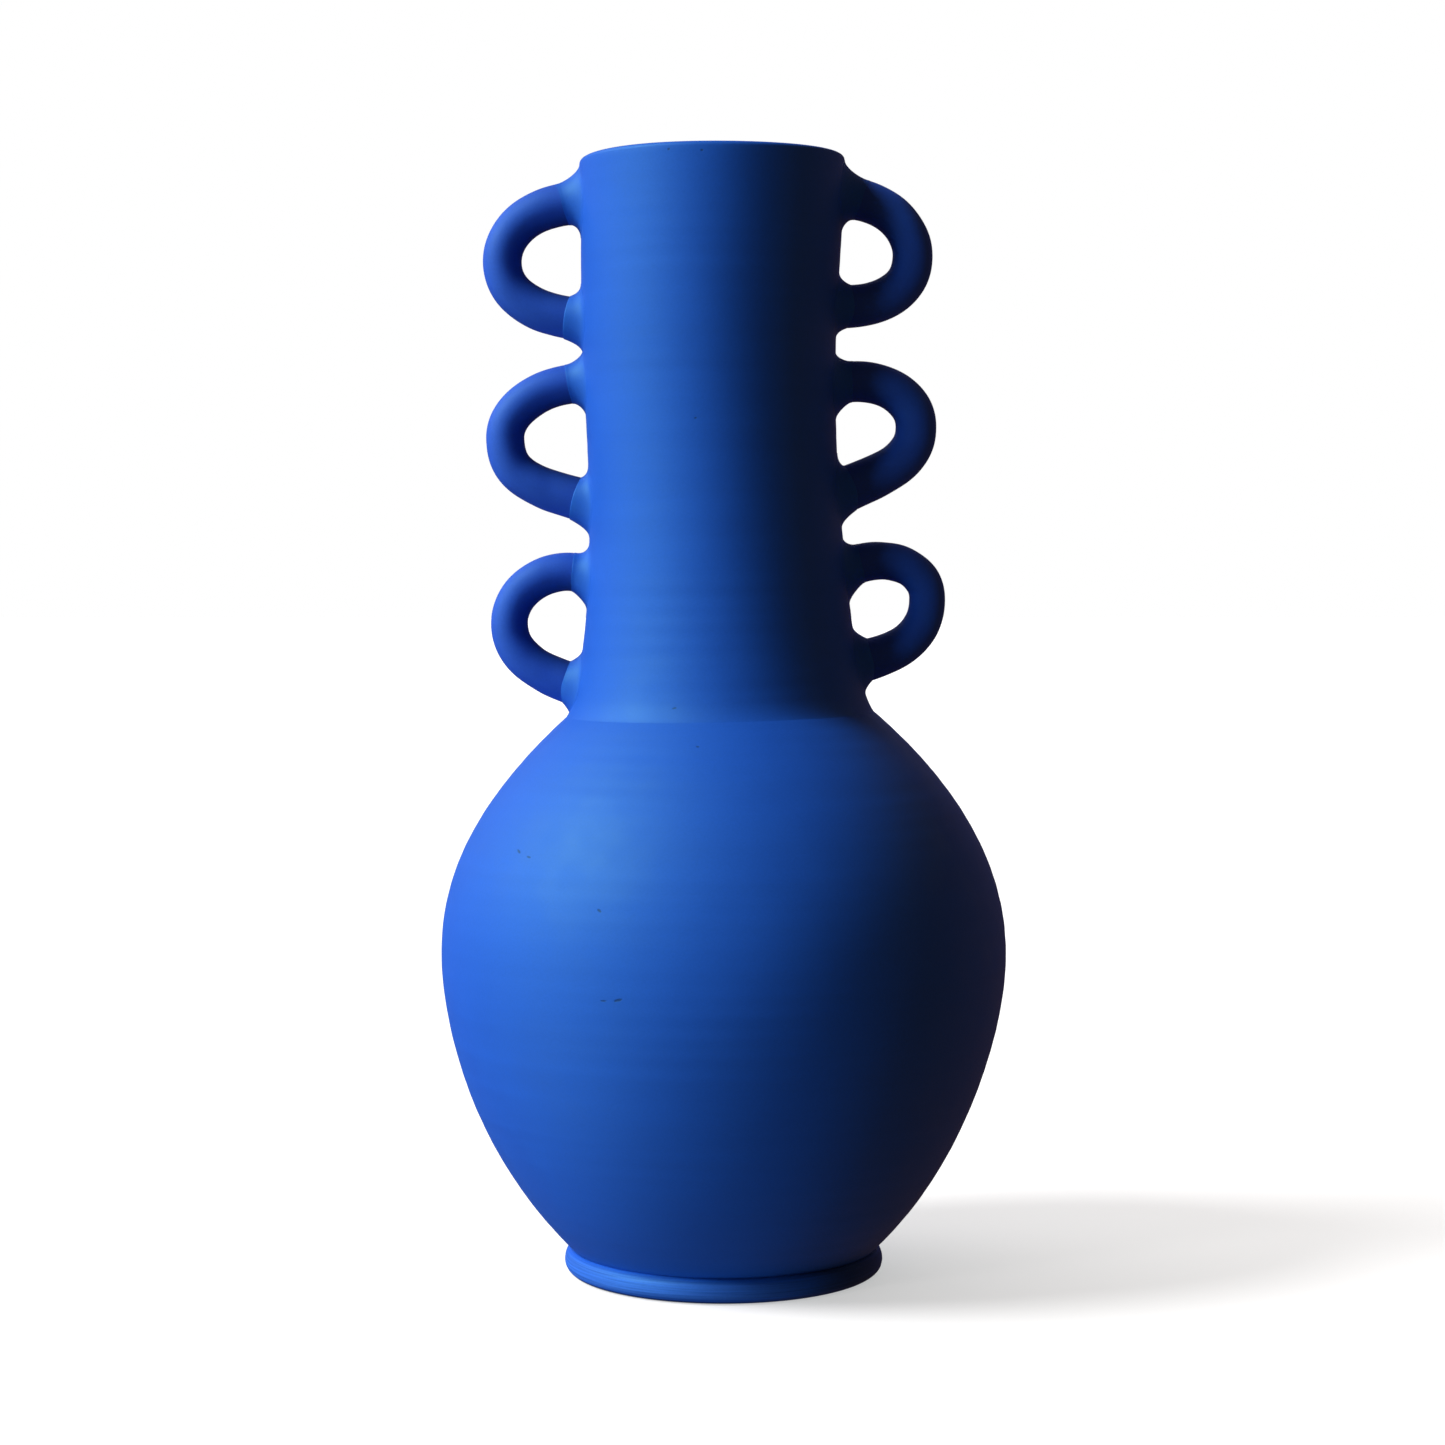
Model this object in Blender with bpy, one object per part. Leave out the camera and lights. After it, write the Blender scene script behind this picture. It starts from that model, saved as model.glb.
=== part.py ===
"""A six-handled stoneware amphora, as a potter makes it: nine formed pieces and twelve luting collars.

A thrown belly stands on a foot ring, a tall thrown neck is luted on its shoulder, and three rolled coil
loops climb each side of the neck. A thin collar of soft clay is worked round each end of every loop.
Metres, +Z up. The origin is the centre of the foot's underside and the loops lie in the XZ plane.
"""

import math
from dataclasses import dataclass

import bmesh
import bpy
from mathutils import Matrix, Vector
from mathutils.geometry import interpolate_bezier

MM = 0.001

# Joints: every luted pair keeps this thin seam of slip between its two faces.
SLIP_SEAM = 0.3 * MM

# Belly: measured on its outside, with its own wall and floor.
BELLY_RADIUS = 81.4 * MM
BELLY_WIDEST_HEIGHT = 92.0 * MM
BELLY_BASE_RADIUS = 44.2 * MM
BELLY_BASE_FLARE = math.radians(46.5)
SHOULDER_HEIGHT = 162.3 * MM
SHOULDER_SLOPE = math.radians(49.4)
BELLY_WALL = 5.0 * MM
BELLY_FLOOR = 6.0 * MM
BASE_BOSS_DEPTH = 3.0 * MM

# Foot ring: a bead that rests on a flat band, hollow under the middle. Its widths follow the belly's base.
FOOT_HEIGHT = 7.2 * MM
FOOT_BEAD_HEIGHT = 3.4 * MM
FOOT_LEDGE = 0.4 * MM
FOOT_OVERHANG = 1.5 * MM
FOOT_RING_WIDTH = 9.1 * MM
FOOT_REST_WIDTH = 4.6 * MM
FOOT_EDGE_ROUNDING = 1.2 * MM
FOOT_SEAT_RADIUS = BELLY_BASE_RADIUS + FOOT_LEDGE
FOOT_BEAD_RADIUS = FOOT_SEAT_RADIUS + FOOT_OVERHANG
FOOT_BORE_RADIUS = FOOT_BEAD_RADIUS - FOOT_RING_WIDTH

# Neck: heights are measured from its seat on the shoulder, along its own leaning axis.
NECK_LEAN = math.radians(1.05)
NECK_LENGTH = 158.0 * MM
NECK_BASE_RADIUS = 43.2 * MM
NECK_WAIST_RADIUS = 35.8 * MM
NECK_WAIST_HEIGHT = 75.0 * MM
NECK_RIM_RADIUS = 37.9 * MM
NECK_WALL = 4.5 * MM
LIP_ROUNDING = 2.0 * MM

# Loops: one thickness of coil, which swells where it is pressed to the neck.
COIL_RADIUS = 5.55 * MM
COIL_SWELL = 0.55 * MM
COIL_ROOT_RADIUS = COIL_RADIUS + COIL_SWELL
LOOP_EMBED = 4.0 * MM

# Collars: a fillet of soft clay that thins to a crisp edge on the coil.
COLLAR_LENGTH = 4.6 * MM
COLLAR_FLARE = 2.9 * MM
COLLAR_EDGE = 0.7 * MM
COLLAR_RADIUS = COIL_ROOT_RADIUS + COLLAR_FLARE

# The columns: the collars of neighbouring storeys and the top one keep clear of each other and of the rim.
LEFT_LOWEST_ROOT = 7.4 * MM
RIGHT_LOWEST_ROOT = 13.0 * MM
COLLAR_SPACING = 2.5 * MM
RIM_MARGIN = 2.8 * MM
ROOT_GAP = 2 * COLLAR_RADIUS + COLLAR_SPACING
HIGHEST_ROOT = NECK_LENGTH - RIM_MARGIN - COLLAR_RADIUS

# Facets of the round shapes.
TURN_STEPS = 40
COIL_SIDES = 12
CURVE_STEPS = 8

MATTE_COBALT = (0.018, 0.115, 0.60, 1.0)


@dataclass(frozen=True)
class Loop:
    """One handle: its column and storey, and how its maker's hand moved it from the even place."""

    name: str
    side: int
    storey: int
    projection: float
    low_shift: float
    high_shift: float
    crown_rise: float
    low_angle: float
    high_angle: float
    low_pull: float
    high_pull: float


LOOPS = (
    Loop("left_bottom", -1, 0, 24.1 * MM, 0.0 * MM, -0.4 * MM, 2.2 * MM, 18, 23, 8.4 * MM, 8.2 * MM),
    Loop("left_middle", -1, 1, 24.2 * MM, 0.5 * MM, 1.6 * MM, 1.6 * MM, 17, 2, 15.7 * MM, 13.8 * MM),
    Loop("left_top", -1, 2, 23.9 * MM, 0.0 * MM, 0.0 * MM, -0.2 * MM, 6, -2, 16.1 * MM, 16.5 * MM),
    Loop("right_bottom", 1, 0, 24.7 * MM, 0.0 * MM, -3.0 * MM, 4.6 * MM, 10, 24, 11.4 * MM, 10.1 * MM),
    Loop("right_middle", 1, 1, 22.2 * MM, -1.9 * MM, -1.6 * MM, 3.1 * MM, 25, 12, 10.0 * MM, 11.4 * MM),
    Loop("right_top", 1, 2, 22.0 * MM, -0.2 * MM, 0.0 * MM, -1.4 * MM, -2, 0, 13.1 * MM, 12.9 * MM),
)
STOREYS = 3
CROWN_PULL = 9.5 * MM


def clear_scene():
    for obj in list(bpy.data.objects):
        bpy.data.objects.remove(obj, do_unlink=True)


def clay(name, colour, roughness):
    """A matte coloured clay or slip."""
    material = bpy.data.materials.new(name)
    material.use_nodes = True
    shader = material.node_tree.nodes["Principled BSDF"]
    shader.inputs["Base Color"].default_value = colour
    shader.inputs["Roughness"].default_value = roughness
    shader.inputs["Metallic"].default_value = 0.0
    return material


def curve_points(start, start_pull, end_pull, end, steps=CURVE_STEPS):
    """Points (u, v) along one smooth cubic curve, both ends included."""
    knots = [Vector((u, v, 0.0)) for u, v in (start, start_pull, end_pull, end)]
    return [(p.x, p.y) for p in interpolate_bezier(*knots, steps + 1)]


def rounded(centre, radius, start_degrees, end_degrees, steps=3):
    """Points of a circular arc, for a rounded edge."""
    turns = [math.radians(start_degrees + (end_degrees - start_degrees) * i / steps) for i in range(steps + 1)]
    return [(centre[0] + radius * math.cos(a), centre[1] + radius * math.sin(a)) for a in turns]


def offset_inward(outline, distance):
    """The outline moved towards the axis along its own normals; it runs bottom to top."""
    moved = []
    last = len(outline) - 1
    for i, (r, z) in enumerate(outline):
        before, after = outline[max(i - 1, 0)], outline[min(i + 1, last)]
        along = Vector((after[0] - before[0], after[1] - before[1])).normalized()
        moved.append((r - distance * along.y, z + distance * along.x))
    return moved


def turned_mesh(name, outline, closed):
    """An outline of (radius, height) points turned about +Z; an open one starts and ends on the axis.

    The turn starts half a facet round, so that the X axis meets the middle of a facet and not an edge."""
    bm = bmesh.new()
    start = math.pi / TURN_STEPS
    verts = [bm.verts.new((r * math.cos(start), r * math.sin(start), z)) for r, z in outline]
    ends = verts[1:] + (verts[:1] if closed else [])
    edges = [bm.edges.new(pair) for pair in zip(verts, ends)]
    bmesh.ops.spin(bm, geom=verts + edges, axis=(0, 0, 1), angle=math.tau, steps=TURN_STEPS, use_merge=True)
    bmesh.ops.remove_doubles(bm, verts=bm.verts, dist=0.001 * MM)
    bmesh.ops.recalc_face_normals(bm, faces=bm.faces)
    return finished_mesh(name, bm)


def finished_mesh(name, bm):
    mesh = bpy.data.meshes.new(name)
    bm.to_mesh(mesh)
    bm.free()
    mesh.shade_smooth()
    mesh.set_sharp_from_angle(angle=math.radians(40))
    return mesh


def place(name, mesh, parent=None, material=None):
    """A new object in the scene; without a material it is a cutter, hidden from the render."""
    obj = bpy.data.objects.new(name, mesh)
    bpy.context.scene.collection.objects.link(obj)
    obj.parent = parent
    if material is None:
        obj.hide_render = True
        obj.display_type = "WIRE"
    else:
        mesh.materials.append(material)
    return obj


def cut(obj, cutter):
    boolean = obj.modifiers.new("cut_by_" + cutter.name, "BOOLEAN")
    boolean.operation = "DIFFERENCE"
    boolean.solver = "EXACT"
    boolean.object = cutter


def belly_outline():
    """The belly's outside from its base to past the shoulder, as two smooth curves and a straight end."""
    base = (BELLY_BASE_RADIUS, FOOT_HEIGHT + SLIP_SEAM)
    widest = (BELLY_RADIUS, BELLY_WIDEST_HEIGHT)
    shoulder = (NECK_BASE_RADIUS, SHOULDER_HEIGHT)
    low_span = math.dist(base, widest)
    high_span = math.dist(widest, shoulder)
    low_start, low_end = 0.32 * low_span, 0.30 * low_span
    high_start, high_end = 0.356 * high_span, 0.368 * high_span
    flare = (base[0] + low_start * math.sin(BELLY_BASE_FLARE), base[1] + low_start * math.cos(BELLY_BASE_FLARE))
    slope = (math.sin(SHOULDER_SLOPE), -math.cos(SHOULDER_SLOPE))
    lead = (shoulder[0] + high_end * slope[0], shoulder[1] + high_end * slope[1])
    low = curve_points(base, flare, (widest[0], widest[1] - low_end), widest)
    high = curve_points(widest, (widest[0], widest[1] + high_start), lead, shoulder)
    past = (shoulder[0] - BELLY_WALL * slope[0], shoulder[1] - BELLY_WALL * slope[1])
    return low + high[1:] + [past]


def neck_outline():
    """The neck's outside from its seat to just under the lip, wide at the seat, narrowest at the waist."""
    seat = (NECK_BASE_RADIUS, 0.0)
    waist = (NECK_WAIST_RADIUS, NECK_WAIST_HEIGHT)
    lip = (NECK_RIM_RADIUS, NECK_LENGTH - LIP_ROUNDING)
    mean = 0.5 * (NECK_BASE_RADIUS + NECK_WAIST_RADIUS)
    low = curve_points(seat, (mean, 0.16 * waist[1]), (waist[0], 0.5 * waist[1]), waist)
    rise = lip[1] - waist[1]
    drift = (0.5 * (waist[0] + lip[0]), lip[1] - 0.5 * rise)
    high = curve_points(waist, (waist[0], waist[1] + 0.3 * rise), drift, lip, 5)
    return low + high[1:]


def neck_radius(height):
    """The neck's outside radius at a height above its seat."""
    outline = neck_outline()
    for (r0, z0), (r1, z1) in zip(outline, outline[1:]):
        if height <= z1:
            return r0 + (r1 - r0) * (height - z0) / (z1 - z0)
    return outline[-1][0]


def make_foot_ring(material):
    rest_outer = FOOT_BORE_RADIUS + FOOT_EDGE_ROUNDING + FOOT_REST_WIDTH
    bead = curve_points(
        (rest_outer, 0.0),
        (FOOT_BEAD_RADIUS, 0.05 * FOOT_BEAD_HEIGHT),
        (FOOT_BEAD_RADIUS, 0.5 * FOOT_BEAD_HEIGHT),
        (FOOT_BEAD_RADIUS, FOOT_BEAD_HEIGHT),
        4,
    )
    top_pull = 0.5 * (FOOT_HEIGHT - FOOT_BEAD_HEIGHT)
    roll = curve_points(
        (FOOT_BEAD_RADIUS, FOOT_BEAD_HEIGHT),
        (FOOT_BEAD_RADIUS, FOOT_BEAD_HEIGHT + top_pull),
        (FOOT_SEAT_RADIUS + 0.4 * (FOOT_BEAD_RADIUS - FOOT_SEAT_RADIUS), FOOT_HEIGHT),
        (FOOT_SEAT_RADIUS, FOOT_HEIGHT),
        4,
    )
    bore_low = rounded(
        (FOOT_BORE_RADIUS + FOOT_EDGE_ROUNDING, FOOT_EDGE_ROUNDING), FOOT_EDGE_ROUNDING, 180, 270
    )
    outline = [(FOOT_BORE_RADIUS, FOOT_HEIGHT)] + bore_low + bead + roll[1:]
    return place("foot_ring", turned_mesh("foot_ring", outline, closed=True), None, material)


def make_belly(material, seat):
    """The hollow belly, its rim trimmed square to the leaning neck, with a boss that drops into the foot."""
    outer = belly_outline()
    base = FOOT_HEIGHT + SLIP_SEAM
    floor = base + BELLY_FLOOR
    boss_radius = FOOT_BORE_RADIUS - SLIP_SEAM
    underside = [(boss_radius, base), (boss_radius, base - BASE_BOSS_DEPTH), (0.0, base - BASE_BOSS_DEPTH)]
    inner = [p for p in offset_inward(outer, BELLY_WALL)[::-1] if p[1] > floor + 2 * MM]
    floor_corner = inner[-1][0] - 4 * MM
    inside = [(0.0, floor), (floor_corner, floor)] + inner[::-1]
    outline = inside + outer[::-1] + underside
    belly = place("belly", turned_mesh("belly", outline, closed=False), None, material)
    reach = NECK_BASE_RADIUS + 2 * BELLY_WALL
    trim = [(0.0, -SLIP_SEAM), (reach, -SLIP_SEAM), (reach, 4 * BELLY_WALL), (0.0, 4 * BELLY_WALL)]
    cut(belly, place("shoulder_cutter", turned_mesh("shoulder_cutter", trim, closed=False), seat))
    return belly


def make_neck(material, seat):
    """The hollow neck, with its lip rounded on both sides."""
    outer = neck_outline()
    inner = offset_inward(outer, NECK_WALL)
    inner[0] = (NECK_BASE_RADIUS - NECK_WALL, 0.0)
    inner[-1] = (NECK_RIM_RADIUS - NECK_WALL, NECK_LENGTH - LIP_ROUNDING)
    lip_height = NECK_LENGTH - LIP_ROUNDING
    outer_lip = rounded((NECK_RIM_RADIUS - LIP_ROUNDING, lip_height), LIP_ROUNDING, 0, 90)
    inner_lip = rounded((NECK_RIM_RADIUS - NECK_WALL + LIP_ROUNDING, lip_height), LIP_ROUNDING, 90, 180)
    outline = outer + outer_lip[1:] + inner_lip[:-1] + inner[::-1]
    return place("neck", turned_mesh("neck", outline, closed=True), seat, material)


def make_neck_cutter(seat):
    """The neck's outside as a solid, one slip seam larger, to trim what is luted to it."""
    outer = [(r + SLIP_SEAM, z) for r, z in neck_outline()]
    bottom = (outer[0][0], -4 * BELLY_WALL)
    top = (outer[-1][0], NECK_LENGTH + COLLAR_RADIUS)
    outline = [(0.0, bottom[1]), bottom] + outer + [top, (0.0, top[1])]
    return place("neck_cutter", turned_mesh("neck_cutter", outline, closed=False), seat)


def make_belly_cutter():
    """The belly's outside as a solid, one slip seam larger, to trim the lowest loops clear of the shoulder."""
    outer = offset_inward(belly_outline(), -SLIP_SEAM)
    outline = [(0.0, outer[0][1])] + outer + [(0.0, outer[-1][1])]
    return place("belly_cutter", turned_mesh("belly_cutter", outline, closed=False))


def root_heights(loop):
    """Where the loop's two ends meet the neck: its storey's even share of the column, and its shifts."""
    lowest = LEFT_LOWEST_ROOT if loop.side < 0 else RIGHT_LOWEST_ROOT
    spread = (HIGHEST_ROOT - lowest - (STOREYS - 1) * ROOT_GAP) / STOREYS
    low = lowest + loop.storey * (spread + ROOT_GAP)
    return low + loop.low_shift, low + spread + loop.high_shift


def loop_path(loop):
    """The coil's centre line, lower end to upper end, as points in the neck's frame."""
    low, high = root_heights(loop)
    start = (neck_radius(low), low)
    end = (neck_radius(high), high)
    crown = (NECK_WAIST_RADIUS + loop.projection, 0.5 * (low + high) + loop.crown_rise)
    low_way = (math.cos(math.radians(loop.low_angle)), math.sin(math.radians(loop.low_angle)))
    high_way = (math.cos(math.radians(loop.high_angle)), math.sin(math.radians(loop.high_angle)))
    start_pull = (start[0] + loop.low_pull * low_way[0], start[1] + loop.low_pull * low_way[1])
    end_pull = (end[0] + loop.high_pull * high_way[0], end[1] + loop.high_pull * high_way[1])
    lower = curve_points(start, start_pull, (crown[0], crown[1] - CROWN_PULL), crown)
    upper = curve_points(crown, (crown[0], crown[1] + CROWN_PULL), end_pull, end)
    inner_start = (start[0] - LOOP_EMBED * low_way[0], start[1] - LOOP_EMBED * low_way[1])
    inner_end = (end[0] - LOOP_EMBED * high_way[0], end[1] - LOOP_EMBED * high_way[1])
    path = [inner_start] + lower + upper[1:] + [inner_end]
    return [Vector((loop.side * u, 0.0, v)) for u, v in path]


def coil_radii(path):
    """The coil's radius at each point, swelling towards the two ends."""
    middle = 0.5 * (len(path) - 1)
    swell = COIL_ROOT_RADIUS - COIL_RADIUS
    return [COIL_RADIUS + swell * (abs(i - middle) / middle) ** 4 for i in range(len(path))]


def tube_mesh(name, path, radii):
    """A round tube along the points, with filled ends, as one closed mesh."""
    curve = bpy.data.curves.new(name, "CURVE")
    curve.dimensions = "3D"
    curve.bevel_depth = 1.0
    curve.bevel_resolution = (COIL_SIDES - 4) // 2
    curve.use_fill_caps = True
    spline = curve.splines.new("POLY")
    spline.points.add(len(path) - 1)
    for point, at, radius in zip(spline.points, path, radii):
        point.co = (*at, 1.0)
        point.radius = radius
    guide = place(name + "_guide", curve)
    bpy.context.view_layer.update()
    graph = bpy.context.evaluated_depsgraph_get()
    bm = bmesh.new()
    bm.from_mesh(bpy.data.meshes.new_from_object(guide.evaluated_get(graph)))
    bpy.data.objects.remove(guide)
    bmesh.ops.remove_doubles(bm, verts=bm.verts, dist=0.001 * MM)
    bmesh.ops.triangulate(bm, faces=bm.faces)
    bmesh.ops.recalc_face_normals(bm, faces=bm.faces)
    return finished_mesh(name, bm)


def walk(path, distance):
    """The first stretch of the path, cut off at a distance from its start."""
    stretch = [path[0]]
    for here, there in zip(path, path[1:]):
        step = (there - here).length
        if step >= distance:
            return stretch + [here.lerp(there, distance / step)]
        stretch.append(there)
        distance -= step
    return stretch


def even_points(path, count):
    """The same polyline with evenly spaced points."""
    length = sum((b - a).length for a, b in zip(path, path[1:]))
    return [walk(path, length * i / (count - 1))[-1] for i in range(count)]


def make_collar(name, path, material, seat, coil_cutter, cutters):
    """A collar on the end of the coil that the path starts from, trimmed to the coil and what it sits on."""
    length = LOOP_EMBED + COLLAR_LENGTH
    stretch = even_points(walk(path, length), 6)
    widths = []
    for i in range(len(stretch)):
        share = max(0.0, (length * i / (len(stretch) - 1) - LOOP_EMBED) / COLLAR_LENGTH)
        widths.append(COIL_ROOT_RADIUS + COLLAR_EDGE + (COLLAR_FLARE - COLLAR_EDGE) * (1.0 - share) ** 1.5)
    collar = place(name, tube_mesh(name, stretch, widths), seat, material)
    for cutter in (*cutters, coil_cutter):
        cut(collar, cutter)


def make_loop(loop, material, seat, neck_cutter, belly_cutter):
    """A coil loop with its two collars. Only the lowest storey can reach the shoulder."""
    path = loop_path(loop)
    radii = coil_radii(path)
    cutters = (neck_cutter, belly_cutter) if loop.storey == 0 else (neck_cutter,)
    handle = place("handle_" + loop.name, tube_mesh("handle_" + loop.name, path, radii), seat, material)
    for cutter in cutters:
        cut(handle, cutter)
    outward = [path[0] + (path[0] - path[1])] + path[1:-1] + [path[-1] + (path[-1] - path[-2])]
    grown = [radius + SLIP_SEAM for radius in radii]
    coil_cutter = place("coil_cutter_" + loop.name, tube_mesh("coil_cutter_" + loop.name, outward, grown), seat)
    names = ("collar_" + loop.name + "_lower", "collar_" + loop.name + "_upper")
    make_collar(names[0], path, material, seat, coil_cutter, cutters)
    make_collar(names[1], path[::-1], material, seat, coil_cutter, (neck_cutter,))


def make_neck_seat():
    """The frame of the leaning neck: its origin is the middle of the joint on the shoulder."""
    seat = bpy.data.objects.new("neck_seat", None)
    bpy.context.scene.collection.objects.link(seat)
    lean = Matrix.Rotation(-NECK_LEAN, 4, "Y")
    rise = lean @ Vector((0.0, 0.0, SHOULDER_HEIGHT - BELLY_WIDEST_HEIGHT))
    seat.location = Vector((0.0, 0.0, BELLY_WIDEST_HEIGHT)) + rise
    seat.rotation_euler = lean.to_euler()
    return seat


def main():
    clear_scene()
    cobalt = clay("matte_cobalt_slip", MATTE_COBALT, 0.85)
    foot_cobalt = clay("brushed_foot_slip", MATTE_COBALT, 0.7)
    seat = make_neck_seat()
    make_foot_ring(foot_cobalt)
    make_belly(cobalt, seat)
    make_neck(cobalt, seat)
    neck_cutter = make_neck_cutter(seat)
    belly_cutter = make_belly_cutter()
    for loop in LOOPS:
        make_loop(loop, cobalt, seat, neck_cutter, belly_cutter)


main()
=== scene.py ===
"""The looks of a six-handled amphora in matte cobalt slip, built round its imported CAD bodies.

Lengths are in millimetres until a mesh is made, and a mesh is in metres. +Z is up, the camera looks
along +Y, and the six loops stand in the XZ plane. The neck leans a little, so the neck, its loops and
their collars are worked out in the neck's own frame: heights from its seat on the shoulder.
"""

import logging
import math
from dataclasses import dataclass
from enum import Enum

import bpy
import numpy as np
from numpy.typing import NDArray
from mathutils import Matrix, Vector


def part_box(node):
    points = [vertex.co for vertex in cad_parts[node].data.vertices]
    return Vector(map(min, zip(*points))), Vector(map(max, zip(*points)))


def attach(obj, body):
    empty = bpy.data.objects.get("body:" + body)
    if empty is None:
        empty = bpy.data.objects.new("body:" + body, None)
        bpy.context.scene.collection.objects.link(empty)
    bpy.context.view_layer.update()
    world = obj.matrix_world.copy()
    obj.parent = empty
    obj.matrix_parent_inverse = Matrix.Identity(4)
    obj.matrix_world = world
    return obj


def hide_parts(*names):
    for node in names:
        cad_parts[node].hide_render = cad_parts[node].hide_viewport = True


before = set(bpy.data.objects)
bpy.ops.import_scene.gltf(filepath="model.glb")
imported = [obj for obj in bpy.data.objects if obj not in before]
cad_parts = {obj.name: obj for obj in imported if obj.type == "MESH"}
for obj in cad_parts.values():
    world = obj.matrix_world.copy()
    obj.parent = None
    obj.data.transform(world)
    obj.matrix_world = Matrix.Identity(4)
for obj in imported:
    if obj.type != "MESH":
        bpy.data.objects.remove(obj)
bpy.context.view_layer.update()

MM = 0.001
FULL_TURN = 2.0 * math.pi
Array = NDArray[np.float64]
Colour = tuple[float, float, float]

log = logging.getLogger("amphora")


class Slot(Enum):
    """The record's material slots."""

    COBALT = "matte_cobalt"
    FOOT = "brushed_foot"


class Side(Enum):
    """Which column a loop belongs to, as the sign of its X."""

    LEFT = -1
    RIGHT = 1


class End(Enum):
    """One of a coil's two ends."""

    LOWER = "lower"
    UPPER = "upper"


# ---------------------------------------------------------------------------------------------------
# Curves and noise
# ---------------------------------------------------------------------------------------------------


def ease(value: Array, low: float, high: float) -> Array:
    """A smooth step: 0 below low, 1 above high, and 3t^2 - 2t^3 between them.

    Args:
        value: Where to work it out.
        low: Where the step starts.
        high: Where the step ends.

    Returns:
        The step's height at each value.
    """
    share = np.clip((value - low) / (high - low), 0.0, 1.0)
    return share * share * (3.0 - 2.0 * share)


def bump(value: Array, centre: float, width: float) -> Array:
    """A bell curve, exp(-((value - centre) / width)^2)."""
    return np.exp(-(((value - centre) / width) ** 2))


def cubic(start: tuple, start_pull: tuple, end_pull: tuple, end: tuple, steps: int) -> Array:
    """A cubic Bezier curve: (1-t)^3 A + 3(1-t)^2 t B + 3(1-t) t^2 C + t^3 D, for t from 0 to 1.

    Args:
        start: The curve's first point.
        start_pull: Its handle.
        end_pull: The last point's handle.
        end: The curve's last point.
        steps: Number of equal steps of t.

    Returns:
        The points, one row each, both ends included.
    """
    t = np.linspace(0.0, 1.0, steps + 1)[:, None]
    knots = [np.array(knot, float) for knot in (start, start_pull, end_pull, end)]
    s = 1.0 - t
    return s**3 * knots[0] + 3 * s**2 * t * knots[1] + 3 * s * t**2 * knots[2] + t**3 * knots[3]


def line(start: tuple, end: tuple, steps: int) -> Array:
    """Points at equal steps from start to end, both ends included."""
    return np.linspace(start, end, steps + 1)


def arc(centre: tuple, radius: float, first: float, last: float, steps: int) -> Array:
    """Points of a circle between two angles in degrees: centre + radius (cos a, sin a).

    Args:
        centre: The circle's centre.
        radius: Its radius.
        first: The first angle.
        last: The last angle.
        steps: Number of equal steps.

    Returns:
        The points, one row each.
    """
    turn = np.radians(np.linspace(first, last, steps + 1))
    return np.array(centre) + radius * np.stack([np.cos(turn), np.sin(turn)], axis=1)


def joined(*runs: Array) -> Array:
    """Runs of points put end to end; each next run gives up its first point, which it shares."""
    return np.concatenate([runs[0]] + [run[1:] for run in runs[1:]])


def unit_normals(outline: Array) -> Array:
    """Each point's normal: the outline's direction by central differences, turned a quarter clockwise."""
    way = np.gradient(outline, axis=0)
    way /= np.maximum(np.linalg.norm(way, axis=1, keepdims=True), 1e-9)
    return np.stack([way[:, 1], -way[:, 0]], axis=1)


def run_length(outline: Array) -> Array:
    """The distance along the outline from its first point to each point."""
    return np.concatenate([[0.0], np.cumsum(np.linalg.norm(np.diff(outline, axis=0), axis=1))])


def waves(along: Array, turn: Array, seed: int, lengths: tuple[float, float], height: float) -> Array:
    """The hand's unevenness: a sum of sines, each sin(2 pi along / length + turns * turn + start).

    Every sine makes a whole number of turns round the axis, so the sum closes on itself.

    Args:
        along: Distances along the profile, in a column.
        turn: Angles round the axis, in a row.
        seed: Chooses the sines.
        lengths: The shortest and the longest wave.
        height: The typical height of the sum.

    Returns:
        The height at each grid point.
    """
    rng = np.random.default_rng(seed)
    count = 9
    length = np.exp(rng.uniform(math.log(lengths[0]), math.log(lengths[1]), (count, 1, 1)))
    turns = rng.integers(-2, 3, (count, 1, 1))
    start = rng.uniform(0.0, FULL_TURN, (count, 1, 1))
    heights = rng.uniform(0.5, 1.0, (count, 1, 1))
    sines = np.sin(FULL_TURN * along[None] / length + turns * turn[None] + start)
    return height * (heights * sines).sum(axis=0) / math.sqrt(count)


# ---------------------------------------------------------------------------------------------------
# Surfaces
# ---------------------------------------------------------------------------------------------------


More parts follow.
